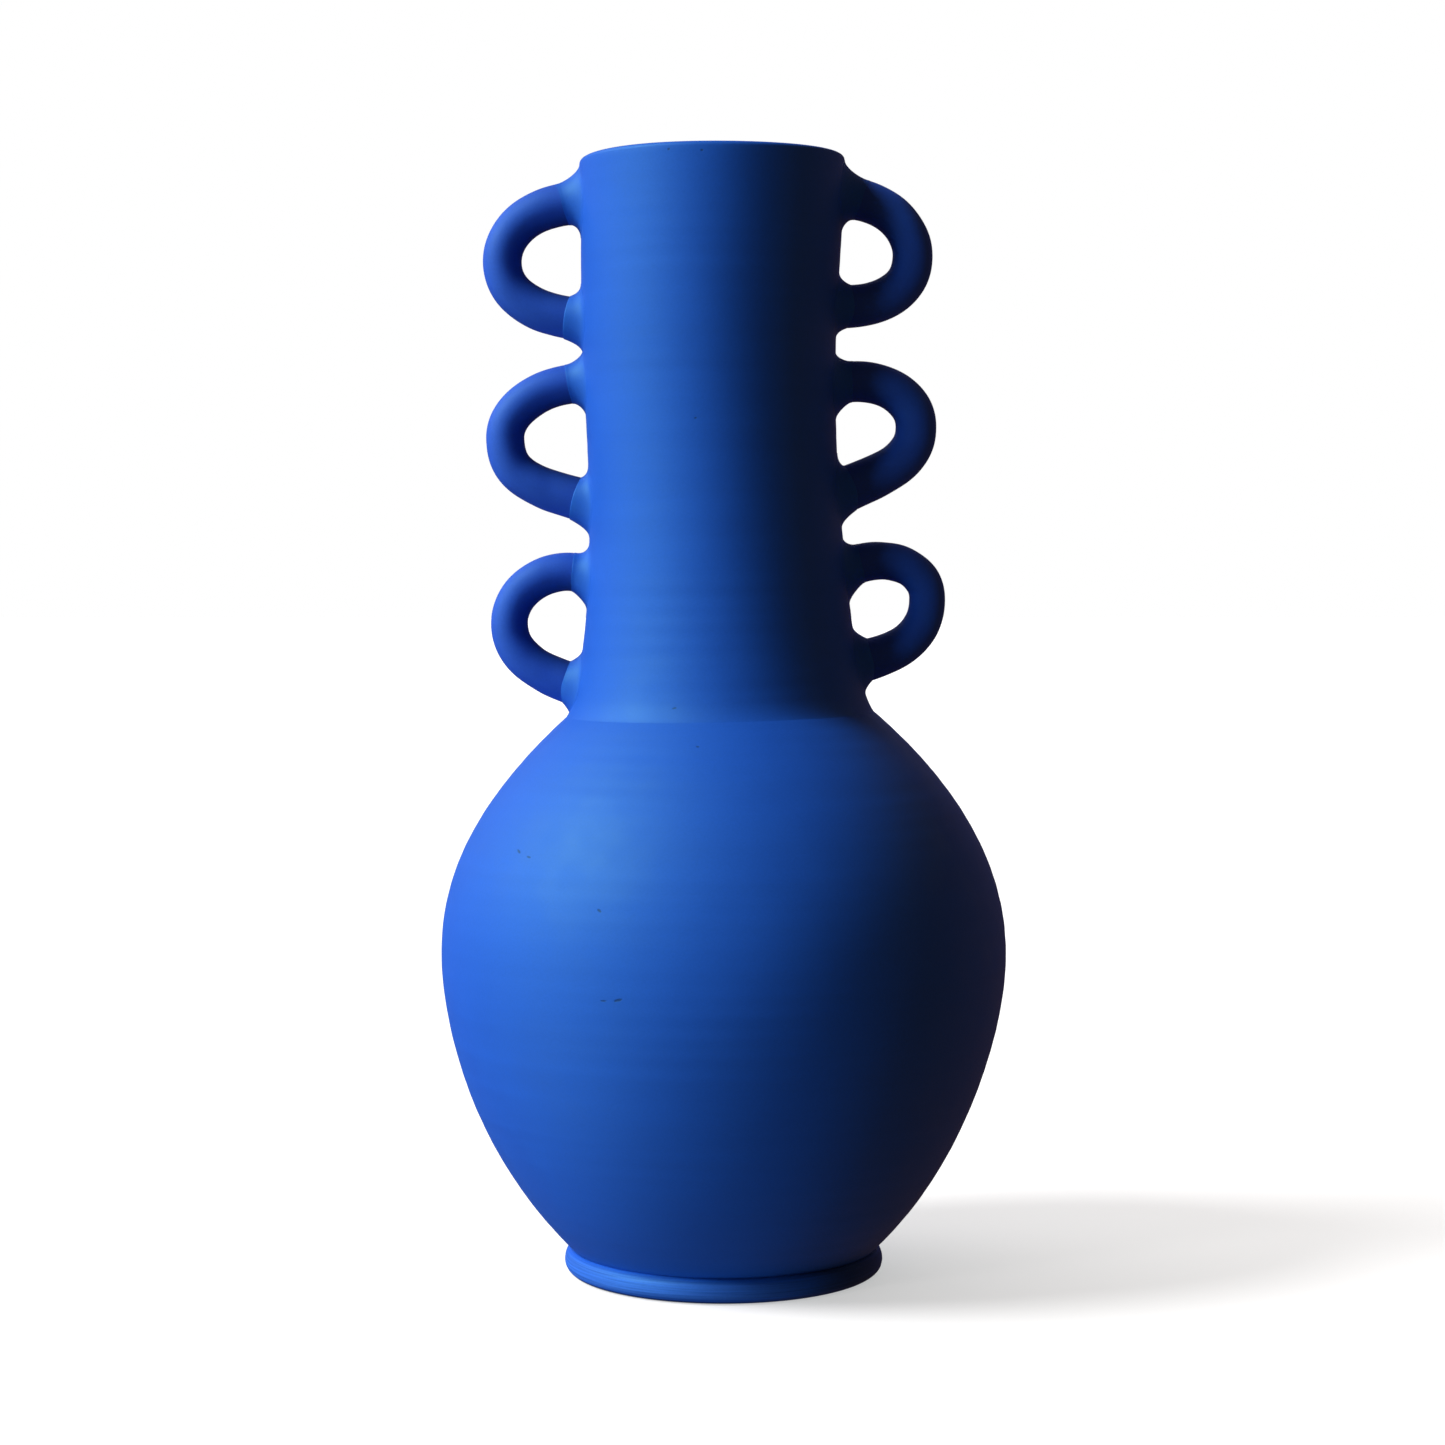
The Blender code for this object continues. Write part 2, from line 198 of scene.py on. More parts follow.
@dataclass
class Skin:
    """A closed surface on a grid of points: rows follow the profile, and columns go round it.

    Attributes:
        points: Positions in millimetres, rows by columns by 3.
        wear_and_painted_light: How thin the slip is at each point, 1 thin and 0 even, with painted light in it: on the
            foot's lit side the thin band is also a painted highlight, and below 0, down to -1, it is painted shade.
        capped: True if each end closes in a pole, False if the last row joins the first.
    """

    points: Array
    wear_and_painted_light: Array
    capped: bool

    def faces(self) -> tuple[Array, Array]:
        """The grid's faces and their texture corners.

        A quad joins (row, column), (row, column + 1), (row + 1, column + 1) and (row + 1, column).
        A pole is one more vertex, with a fan of triangles.

        Returns:
            Vertex numbers, four to a face, with -1 last on a triangle; and (u, v) per corner, where u
            is the share of a turn and v the distance along the profile in metres.
        """
        rows, columns = self.points.shape[:2]
        row = np.arange(rows - 1 if self.capped else rows)[:, None]
        column = np.arange(columns)[None, :]

        def number(r: Array, c: Array) -> Array:
            """The vertex number at a row and column of the grid."""
            return (r % rows) * columns + (c % columns)

        corners = [(row, column), (row, column + 1), (row + 1, column + 1), (row + 1, column)]
        quads = np.stack([number(r, c) for r, c in corners], axis=-1).reshape(-1, 4)
        along = run_length(np.concatenate([self.points[:, 0], self.points[:1, 0]])) * MM
        whole = np.broadcast_to
        u = np.stack([whole(c / columns, (len(row), columns)) for _, c in corners], axis=-1)
        v = np.stack([whole(along[r], (len(row), columns)) for r, _ in corners], axis=-1)
        marks = np.stack([u, v], axis=-1).reshape(-1, 4, 2)
        if not self.capped:
            return quads, marks
        place = np.arange(columns)
        none = np.full(columns, -1)
        south = np.stack([np.full(columns, rows * columns), number(0, place + 1), number(0, place), none], 1)
        last = rows - 1
        north = np.stack([number(last, place), number(last, place + 1), none + 2 + rows * columns, none], 1)
        fan = np.zeros((2, columns, 4, 2))
        fan[..., 0] = ((place[:, None] + np.array([0.5, 1.0, 0.0, 0.0])) / columns)[None]
        fan[1, :, :3, 0] = (place[:, None] + np.array([0.0, 1.0, 0.5])) / columns
        fan[1, :, :, 1] = along[last]
        return np.concatenate([quads, south, north]), np.concatenate([marks, fan[0], fan[1]])

    def build(self, name: str, finish: "Finish", slot: Slot, nodes: tuple[str, ...]) -> bpy.types.Object:
        """Makes the mesh object, dresses it, and sets it on the CAD bodies that it stands for.

        Args:
            name: The piece's name.
            finish: Its finish.
            slot: The record's slot for that finish; not used.
            nodes: The CAD nodes that it replaces.

        Returns:
            The new object.
        """
        faces, marks = self.faces()
        points = self.points.reshape(-1, 3)
        wear_and_painted_light = self.wear_and_painted_light.reshape(-1)
        if self.capped:
            points = np.concatenate([points, self.points[0].mean(0)[None], self.points[-1].mean(0)[None]])
            wear_and_painted_light = np.concatenate([wear_and_painted_light, self.wear_and_painted_light[0, :1], self.wear_and_painted_light[-1, :1]])
        three = faces[:, 3] < 0
        used = np.ones(faces.shape, bool)
        used[three, 3] = False
        first = np.concatenate([[0], np.cumsum(used.sum(axis=1))[:-1]])
        mesh = bpy.data.meshes.new(name)
        mesh.vertices.add(len(points))
        mesh.vertices.foreach_set("co", (points * MM).astype(np.float32).ravel())
        mesh.loops.add(int(used.sum()))
        mesh.loops.foreach_set("vertex_index", faces[used].astype(np.int32))
        mesh.polygons.add(len(faces))
        mesh.polygons.foreach_set("loop_start", first.astype(np.int32))
        mesh.uv_layers.new(name="slip_map").uv.foreach_set("vector", marks[used].astype(np.float32).ravel())
        thin_and_painted_light = mesh.attributes.new("thin_slip_and_painted_light", "FLOAT", "POINT")
        thin_and_painted_light.data.foreach_set("value", wear_and_painted_light.astype(np.float32))
        mesh.update(calc_edges=True)
        mesh.validate()
        if self.volume() < 0.0:
            mesh.flip_normals()
        mesh.shade_smooth()
        mesh.materials.append(finish.material())
        piece = bpy.data.objects.new(name, mesh)
        bpy.context.scene.collection.objects.link(piece)
        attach(piece, "root")
        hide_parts(*nodes)
        self.report(name, int(used.sum()) - 2 * len(faces), nodes)
        return piece

    def volume(self) -> float:
        """The signed volume inside the grid: each quad's a . (b x c) + a . (c x d), summed, over 6."""
        a = self.points
        b = np.roll(a, -1, axis=1)
        c = np.roll(b, -1, axis=0)
        d = np.roll(a, -1, axis=0)
        whole = (a * np.cross(b, c)).sum(-1) + (a * np.cross(c, d)).sum(-1)
        return float((whole[:-1] if self.capped else whole).sum() / 6.0)

    def report(self, name: str, triangles: int, nodes: tuple[str, ...]) -> None:
        """Logs the piece's size and how far its box is from the CAD nodes' box.

        Args:
            name: The piece's name.
            triangles: Its number of triangles.
            nodes: The CAD nodes that it replaces.
        """
        low = np.array([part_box(node)[0] for node in nodes]).min(axis=0) / MM
        high = np.array([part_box(node)[1] for node in nodes]).max(axis=0) / MM
        points = self.points.reshape(-1, 3)
        low_gap, high_gap = points.min(axis=0) - low, points.max(axis=0) - high
        log.info(
            "%-28s %6d triangles, %s mm, box off by %s / %s mm",
            name,
            triangles,
            np.round(np.ptp(points, axis=0), 1),
            np.round(low_gap, 1),
            np.round(high_gap, 1),
        )


# ---------------------------------------------------------------------------------------------------
# Finishes
# ---------------------------------------------------------------------------------------------------


class Bench:
    """Lays out a material's nodes and joins them."""

    def __init__(self, material: bpy.types.Material) -> None:
        """Empties the material's tree and keeps it."""
        material.use_nodes = True
        self.tree = material.node_tree
        self.tree.nodes.clear()

    def add(self, kind: str, inputs: dict | None = None, **settings: object) -> bpy.types.Node:
        """A new node.

        Args:
            kind: The node's type, without its ShaderNode prefix.
            inputs: A value, or another node's output, for each input by its name or number.
            settings: The node's own settings.

        Returns:
            The node.
        """
        node = self.tree.nodes.new("ShaderNode" + kind)
        for key, value in settings.items():
            setattr(node, key, value)
        for key, value in (inputs or {}).items():
            if isinstance(value, bpy.types.NodeSocket):
                self.tree.links.new(value, node.inputs[key])
            else:
                node.inputs[key].default_value = value
        return node

    def sum_up(self, operation: str, *values: object) -> bpy.types.NodeSocket:
        """A Math node's output, for one operation on up to three values."""
        return self.add("Math", dict(enumerate(values)), operation=operation).outputs[0]

    def spread(self, value: object, low: float, high: float, start: float, end: float) -> bpy.types.NodeSocket:
        """The value carried from the range low to high onto the range start to end, and held there."""
        inputs = {"Value": value, "From Min": low, "From Max": high, "To Min": start, "To Max": end}
        return self.add("MapRange", inputs).outputs["Result"]

    def noise(self, place: object, scale: float, detail: float = 2.0) -> bpy.types.NodeSocket:
        """A noise's value, about 0.5 on average."""
        inputs = {"Vector": place, "Scale": scale, "Detail": detail}
        return self.add("TexNoise", inputs).outputs["Fac"]

    def stretched(self, place: object, scale: tuple[float, float, float]) -> bpy.types.NodeSocket:
        """The place with each axis scaled, so that a pattern is drawn out along the others."""
        return self.add("Mapping", {"Vector": place, "Scale": scale}).outputs["Vector"]

    def mixed(self, share: object, first: object, second: object) -> bpy.types.NodeSocket:
        """Two colours mixed by a share."""
        node = self.add("Mix", data_type="RGBA")
        for key, value in (("Factor_Float", share), ("A_Color", first), ("B_Color", second)):
            socket = next(s for s in node.inputs if s.identifier == key)
            if isinstance(value, bpy.types.NodeSocket):
                self.tree.links.new(value, socket)
            else:
                socket.default_value = value
        return next(s for s in node.outputs if s.identifier == "Result_Color")


@dataclass(frozen=True)
class Scar:
    """A nick in the slip: a short groove.

    Attributes:
        place: Its middle, in millimetres.
        way: Its direction.
        length: How long it is.
        width: How wide it is.
    """

    place: Colour
    way: Colour
    length: float
    width: float


@dataclass(frozen=True)
class Finish:
    """A matte slip, brushed on and fired.

    Attributes:
        name: The material's name.
        colour: The slip where it is even.
        thin_and_lit_colour: The slip where it is thin, on edges, and the painted highlight on the foot's lit side.
        painted_shade_colour: The dark colour of painted shade.
        pit_colour: The slip in a pit or a nick.
        roughness: How matte it is.
        specular: How strong its gloss is.
        gloss_tint: The gloss's colour.
        sheen: How much dust-like bloom it has.
        cloud: How far the colour drifts over the piece.
        ring: How strong the rings of the wheel show.
        grain: How strong the grain shows.
        pits: How many pinholes there are, 0 to 1.
        streak: How strong the brush's lines show.
        scars: Its nicks.
    """

    name: str
    colour: Colour = (0.0048, 0.067, 0.45)
    thin_and_lit_colour: Colour = (0.009, 0.11, 0.53)
    painted_shade_colour: Colour = (0.0015, 0.016, 0.10)
    pit_colour: Colour = (0.002, 0.026, 0.19)
    roughness: float = 0.63
    specular: float = 0.58
    gloss_tint: Colour = (0.32, 1.0, 0.58)
    sheen: float = 0.0
    cloud: float = 0.03
    ring: float = 0.02
    grain: float = 0.04
    pits: float = 0.5
    streak: float = 0.0
    scars: tuple[Scar, ...] = ()

    def material(self) -> bpy.types.Material:
        """The finish as a material, made once."""
        return bpy.data.materials.get(self.name) or self.mix_slip()

    def mix_slip(self) -> bpy.types.Material:
        """Lays out the slip's nodes.

        The colour is the slip's own, lighter where it is thin on edges and where a highlight is painted, darker where
        shade is painted, then times clouds, rings and grain, and dark in pits and nicks.
        Bump is the grain, the rings and the depth of the pits.

        Returns:
            The new material.
        """
        material = bpy.data.materials.new(self.name)
        bench = Bench(material)
        place = bench.add("TexCoord").outputs["Object"]
        cloud = bench.noise(place, 16.0, 3.0)
        mottle = bench.noise(place, 95.0, 3.0)
        rings = bench.noise(bench.stretched(place, (6.0, 6.0, 260.0)), 1.0, 3.0)
        lines = bench.noise(bench.stretched(place, (28.0, 28.0, 1900.0)), 1.0, 2.0)
        grain = bench.noise(place, 1500.0, 3.0)
        tone = bench.spread(cloud, 0.3, 0.7, 1.0 - self.cloud, 1.0 + self.cloud)
        for value, amount in ((mottle, 0.5 * self.cloud), (rings, self.ring), (grain, self.grain)):
            part = bench.spread(value, 0.3, 0.7, 1.0 - amount, 1.0 + amount)
            tone = bench.sum_up("MULTIPLY", tone, part)
        streak = bench.spread(lines, 0.3, 0.7, -1.0, 1.0)
        if self.streak:
            tone = bench.sum_up("MULTIPLY", tone, bench.sum_up("MULTIPLY_ADD", streak, self.streak, 1.0))
        # The thin part is thin slip, and on the foot's lit side also a painted highlight.
        thin_and_painted_light = bench.add("Attribute", attribute_name="thin_slip_and_painted_light").outputs["Fac"]
        patchy = bench.spread(lines if self.streak else bench.noise(place, 420.0, 4.0), 0.33, 0.48, 0.35, 1.0)
        thin_and_painted_light = bench.sum_up("MULTIPLY", bench.sum_up("MAXIMUM", thin_and_painted_light, 0.0), patchy)
        slip = bench.mixed(thin_and_painted_light, (*self.colour, 1.0), (*self.thin_and_lit_colour, 1.0))
        # Painted shade: below 0 the attribute mixes in the dark shade colour.
        painted_shade = bench.spread(bench.add("Attribute", attribute_name="thin_slip_and_painted_light").outputs["Fac"], -1.0, 0.0, 1.0, 0.0)
        slip = bench.mixed(painted_shade, slip, (*self.painted_shade_colour, 1.0))
        slip = bench.add("VectorMath", {0: slip, "Scale": tone}, operation="SCALE").outputs[0]
        pit = self.pit_mask(bench, place)
        for scar in self.scars:
            pit = bench.sum_up("MAXIMUM", pit, self.scar_mask(bench, place, scar))
        slip = bench.mixed(pit, slip, (*self.pit_colour, 1.0))
        rough = bench.spread(mottle, 0.3, 0.7, self.roughness - 0.03, self.roughness + 0.03)
        rough = bench.sum_up("MULTIPLY_ADD", thin_and_painted_light, -0.12, rough)
        relief = bench.sum_up("MULTIPLY_ADD", rings, 0.30, grain)
        relief = bench.sum_up("MULTIPLY_ADD", pit, -3.0, relief)
        if self.streak:
            relief = bench.sum_up("MULTIPLY_ADD", streak, 0.6, relief)
        depth = bench.add("Bump", {"Height": relief, "Strength": 0.35, "Distance": 0.06 * MM})
        shader = bench.add(
            "BsdfPrincipled",
            {
                "Base Color": slip,
                "Roughness": rough,
                "Normal": depth.outputs["Normal"],
                "Specular IOR Level": self.specular,
                "Specular Tint": (*self.gloss_tint, 1.0),
                "Sheen Weight": self.sheen,
                "Sheen Roughness": 0.5,
                "Sheen Tint": (0.75, 0.93, 1.0, 1.0),
            },
        )
        bench.add("OutputMaterial", {"Surface": shader.outputs["BSDF"]})
        material.diffuse_color = (*self.colour, 1.0)
        return material

    def pit_mask(self, bench: Bench, place: object) -> bpy.types.NodeSocket:
        """Pinholes: small discs round the seeds of a cell pattern, in the few cells chosen by their own hue.

        Args:
            bench: Where the nodes go.
            place: The point on the piece.

        Returns:
            1 in a pinhole and 0 elsewhere.
        """
        cells = bench.add("TexVoronoi", {"Vector": place, "Scale": 150.0})
        disc = bench.spread(cells.outputs["Distance"], 0.03, 0.055, 1.0, 0.0)
        hue = bench.add("SeparateColor", {0: cells.outputs["Color"]}).outputs[0]
        chosen = bench.sum_up("LESS_THAN", hue, 0.05 * self.pits)
        return bench.sum_up("MULTIPLY", disc, chosen)

    def scar_mask(self, bench: Bench, place: object, scar: Scar) -> bpy.types.NodeSocket:
        """A nick: 1 inside a ragged ellipsoid drawn out along the nick's way.

        The offset from the nick's middle is split into its part along the way and the rest, and each is
        divided by the half length or half width. Noise makes the border ragged.

        Args:
            bench: Where the nodes go.
            place: The point on the piece.
            scar: The nick.

        Returns:
            1 in the nick and 0 elsewhere.
        """
        middle = tuple(MM * value for value in scar.place)
        way = np.array(scar.way) / np.linalg.norm(scar.way)
        offset = bench.add("VectorMath", {0: place, 1: middle}, operation="SUBTRACT").outputs[0]
        along = bench.add("VectorMath", {0: offset, 1: tuple(way)}, operation="DOT_PRODUCT").outputs["Value"]
        reach = bench.add("VectorMath", {0: offset}, operation="LENGTH").outputs["Value"]
        square = bench.sum_up("MULTIPLY", reach, reach)
        along_square = bench.sum_up("MULTIPLY", along, along)
        across_square = bench.sum_up("SUBTRACT", square, along_square)
        half_length, half_width = 0.5 * scar.length * MM, 0.5 * scar.width * MM
        total = bench.sum_up(
            "ADD",
            bench.sum_up("DIVIDE", along_square, half_length**2),
            bench.sum_up("DIVIDE", across_square, half_width**2),
        )
        ragged = bench.sum_up("MULTIPLY_ADD", bench.noise(place, 1100.0, 2.0), 1.6, total)
        return bench.spread(ragged, 1.3, 1.9, 1.0, 0.0)


# ---------------------------------------------------------------------------------------------------
# Belly and foot
# ---------------------------------------------------------------------------------------------------


@dataclass(frozen=True)
class Belly:
    """The thrown belly: hollow, with a boss under it that drops into the foot ring.

    Attributes:
        radius: Outside radius where it is widest.
        widest_height: The height of that place.
        base_radius: Outside radius where it sits on the foot.
        base_height: The height of that place.
        base_flare: How far it leans out there, in degrees from upright.
        shoulder_radius: Outside radius at the joint with the neck.
        shoulder_height: The height of that place.
        shoulder_slope: How far it leans in there, in degrees from level.
        wall: Its thickness.
        floor: The floor's thickness.
        boss_radius: The radius of the boss under it.
        boss_depth: How far the boss reaches down.
        columns: Points round it.
        throwing: How deep the rings of the wheel are.
    """

    radius: float = 81.4
    widest_height: float = 92.0
    base_radius: float = 44.2
    base_height: float = 7.3
    base_flare: float = 46.5
    shoulder_radius: float = 43.2
    shoulder_height: float = 162.3
    shoulder_slope: float = 49.4
    wall: float = 5.0
    floor: float = 6.0
    boss_radius: float = 36.7
    boss_depth: float = 2.6
    columns: int = 256
    throwing: float = 0.03

    def outside(self) -> Array:
        """The outside from the foot to under the neck: two cubic curves that meet upright at the widest
        place, and a straight end that carries on under the neck's wall.

        Returns:
            (radius, height) points.
        """
        base, widest = (self.base_radius, self.base_height), (self.radius, self.widest_height)
        shoulder = (self.shoulder_radius, self.shoulder_height)
        low_span, high_span = math.dist(base, widest), math.dist(widest, shoulder)
        flare, slope = math.radians(self.base_flare), math.radians(self.shoulder_slope)
        low_pull, high_pull = 0.32 * low_span, 0.368 * high_span
        out = (base[0] + low_pull * math.sin(flare), base[1] + low_pull * math.cos(flare))
        lead = (shoulder[0] + high_pull * math.sin(slope), shoulder[1] - high_pull * math.cos(slope))
        low = cubic(base, out, (widest[0], widest[1] - 0.30 * low_span), widest, 110)
        high = cubic(widest, (widest[0], widest[1] + 0.356 * high_span), lead, shoulder, 100)
        past = (shoulder[0] - 3.4 * math.sin(slope), shoulder[1] + 3.4 * math.cos(slope))
        return joined(low, high, line(shoulder, past, 4))

    def outline(self) -> tuple[Array, int, int]:
        """The whole closed profile, from the middle of the underside round to the middle of the floor.

        Returns:
            (radius, height) points, and the first and last row of the outside.
        """
        outside = self.outside()
        under = self.base_height - self.boss_depth
        boss = joined(
            line((1.0, under), (self.boss_radius - 1.0, under), 6),
            arc((self.boss_radius - 1.0, under + 1.0), 1.0, -90.0, 0.0, 3),
            line((self.boss_radius, under + 1.0), (self.boss_radius, self.base_height), 2),
            line((self.boss_radius, self.base_height), tuple(outside[0]), 4),
        )
        inside = outside - self.wall * unit_normals(outside)
        floor = self.base_height + self.floor
        inside = inside[inside[:, 1] > floor + 4.0][::-3]
        corner = inside[-1]
        bottom = cubic(tuple(corner), (corner[0] - 2.2, corner[1] - 2.6), (corner[0] - 6.0, floor), (corner[0] - 11.0, floor), 8)
        rim = line(tuple(outside[-1]), tuple(inside[0]), 3)
        whole = joined(boss, outside, rim, inside, bottom, line(tuple(bottom[-1]), (1.0, floor), 8))
        return whole, len(boss) - 1, len(boss) + len(outside) - 2

    def build(self, finish: Finish) -> None:
        """Turns the profile round the axis: (r cos u, r sin u, z), moved along its normal by the rings of
        the wheel and by a slow wobble.

        Args:
            finish: The belly's finish.
        """
        outline, first, last = self.outline()
        turn = np.linspace(0.0, FULL_TURN, self.columns, endpoint=False)[None, :]
        along = run_length(outline)[:, None]
        row = np.arange(len(outline), dtype=float)[:, None]
        shown = ease(row, first, first + 6.0) * (1.0 - ease(row, last - 8.0, last))
        move = waves(along, turn, 11, (5.0, 19.0), self.throwing) + waves(along, turn, 12, (60.0, 140.0), 0.10)
        normal = unit_normals(outline)
        radius = outline[:, :1] + normal[:, :1] * move * shown
        height = outline[:, 1:] + normal[:, 1:] * move * shown
        points = np.stack([radius * np.cos(turn), radius * np.sin(turn), height + 0.0 * turn], axis=-1)
        wear_and_painted_light = 0.5 * bump(outline[:, 1:], self.base_height + 0.3, 0.8) * shown + 0.0 * turn
        Skin(points, wear_and_painted_light, capped=True).build("belly_wall", finish, Slot.COBALT, ("belly",))


@dataclass(frozen=True)
class Foot:
    """The foot: a brushed ring with a bead, resting on a flat band.

    Attributes:
        height: Its height.
        bead_height: Where the bead is widest.
        bead_radius: The bead's radius.
        seat_radius: Its top's radius, under the belly.
        bore_radius: The hole's radius.
        rest_width: The width of the band that it rests on.
        rounding: The bore's rounded lower edge.
        worn_and_lit_side: The lit side, where the bead's band of thin brushed slip is made lighter as a painted
            highlight, in degrees round from +X.
        shaded_side: The side where shade is painted on the bead, in degrees round from +X.
        columns: Points round it.
    """

    height: float = 7.25
    bead_height: float = 3.4
    bead_radius: float = 46.1
    seat_radius: float = 44.5
    bore_radius: float = 37.0
    rest_width: float = 4.6
    rounding: float = 1.2
    worn_and_lit_side: float = 240.0
    shaded_side: float = 322.0
    columns: int = 288

    def outline(self) -> Array:
        """The ring's closed profile: rest band, bead, seat, bore and the bore's rounded edge.

        Returns:
            (radius, height) points, starting at the band's outer edge.
        """
        rest = self.bore_radius + self.rounding + self.rest_width
        bead = cubic(
            (rest, 0.0),
            (rest + 1.9, 0.05),
            (self.bead_radius, 0.42 * self.bead_height),
            (self.bead_radius, self.bead_height),
            18,
        )
        rise = self.height - self.bead_height
        roll = cubic(
            (self.bead_radius, self.bead_height),
            (self.bead_radius, self.bead_height + 0.5 * rise),
            (self.seat_radius + 0.55, self.height - 0.35),
            (self.seat_radius - 0.3, self.height),
            18,
        )
        top = line(tuple(roll[-1]), (self.bore_radius, self.height), 5)
        bore = line((self.bore_radius, self.height), (self.bore_radius, self.rounding), 5)
        edge = arc((self.bore_radius + self.rounding, self.rounding), self.rounding, 180.0, 270.0, 5)
        return joined(bead, roll, top, bore, edge, line(tuple(edge[-1]), (rest, 0.0), 5))[:-1]

    def build(self, finish: Finish) -> None:
        """Turns the profile round the axis: (r cos u, r sin u, z), with fine turned lines on the bead.

        Args:
            finish: The foot's finish.
        """
        outline = self.outline()
        turn = np.linspace(0.0, FULL_TURN, self.columns, endpoint=False)[None, :]
        radius, height = outline[:, :1], outline[:, 1:]
        along = run_length(outline)[:, None]
        shown = ease(radius, self.seat_radius - 1.5, self.seat_radius) * ease(height, 0.2, 1.0)
        radius = radius + shown * (
            waves(along, turn, 21, (1.2, 3.5), 0.035) + waves(0.0 * along, turn, 22, (9.0, 10.0), 0.06)
        )
        points = np.stack([radius * np.cos(turn), radius * np.sin(turn), height + 0.0 * turn], axis=-1)
        ragged = 6.1 + waves(0.0 * along, turn, 23, (9.0, 10.0), 0.30)
        band = ease(height, 0.8, 2.4) * (1.0 - ease(height, ragged - 0.5, ragged + 0.5))
        # Painted highlight: the band of thin slip is made lighter only towards the lit side.
        worn_and_lit = 0.5 + 0.5 * np.cos(turn - math.radians(self.worn_and_lit_side))
        wear_and_painted_light = band * ease(worn_and_lit, 0.55, 0.86) * ease(radius, self.seat_radius - 1.5, self.seat_radius)
        # Painted shade: the bead's right-front side and its lowest band all round are darkened.
        wear_and_painted_light = wear_and_painted_light - 0.8 * np.maximum(1.0 - ease(height, 0.5, 1.5), bump(turn, math.radians(self.shaded_side), 0.75))
        Skin(points, wear_and_painted_light, capped=False).build("foot_bead", finish, Slot.FOOT, ("foot_ring",))


# ---------------------------------------------------------------------------------------------------
# Neck
# ---------------------------------------------------------------------------------------------------


